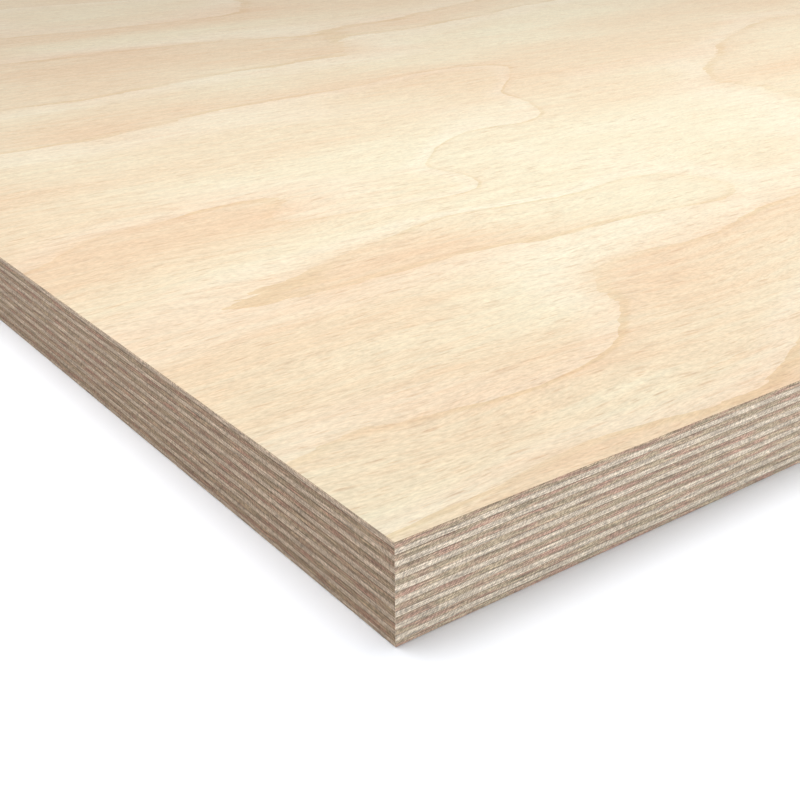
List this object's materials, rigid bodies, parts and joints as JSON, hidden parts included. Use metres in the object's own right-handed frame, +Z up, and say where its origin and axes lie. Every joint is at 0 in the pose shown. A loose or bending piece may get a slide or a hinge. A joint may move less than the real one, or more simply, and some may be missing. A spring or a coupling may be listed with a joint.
{
  "type": "plywood sheet",
  "caption": "Thick beech plywood sheet lying flat: rotary-cut veneers glued crosswise, with sanded faces and square sawn edges that show every ply.",
  "frame": {"origin": "middle of the underside, on the surface that the sheet lies on", "axes": "+X along the length and the face grain, +Y along the width, +Z up out of the face veneer"},
  "size_m": [2.2, 1.25, 0.025],
  "materials": {
    "face_veneer": "sanded bare beech, rotary cut, sound face",
    "back_veneer": "sanded bare beech, rotary cut",
    "long_grain_ply": "sawn edge of beech veneer with its grain along the length",
    "cross_grain_ply": "sawn edge of beech veneer with its grain across the length"
  },
  "bodies": {
    "root": {"face_veneer": "face_veneer", "cross_ply_02": "cross_grain_ply", "long_ply_03": "long_grain_ply", "cross_ply_04": "cross_grain_ply", "long_ply_05": "long_grain_ply", "cross_ply_06": "cross_grain_ply", "long_ply_07": "long_grain_ply", "cross_ply_08": "cross_grain_ply", "long_ply_09": "long_grain_ply", "cross_ply_10": "cross_grain_ply", "long_ply_11": "long_grain_ply", "cross_ply_12": "cross_grain_ply", "long_ply_13": "long_grain_ply", "cross_ply_14": "cross_grain_ply", "long_ply_15": "long_grain_ply", "cross_ply_16": "cross_grain_ply", "back_veneer": "back_veneer"}
  },
  "joints": []
}
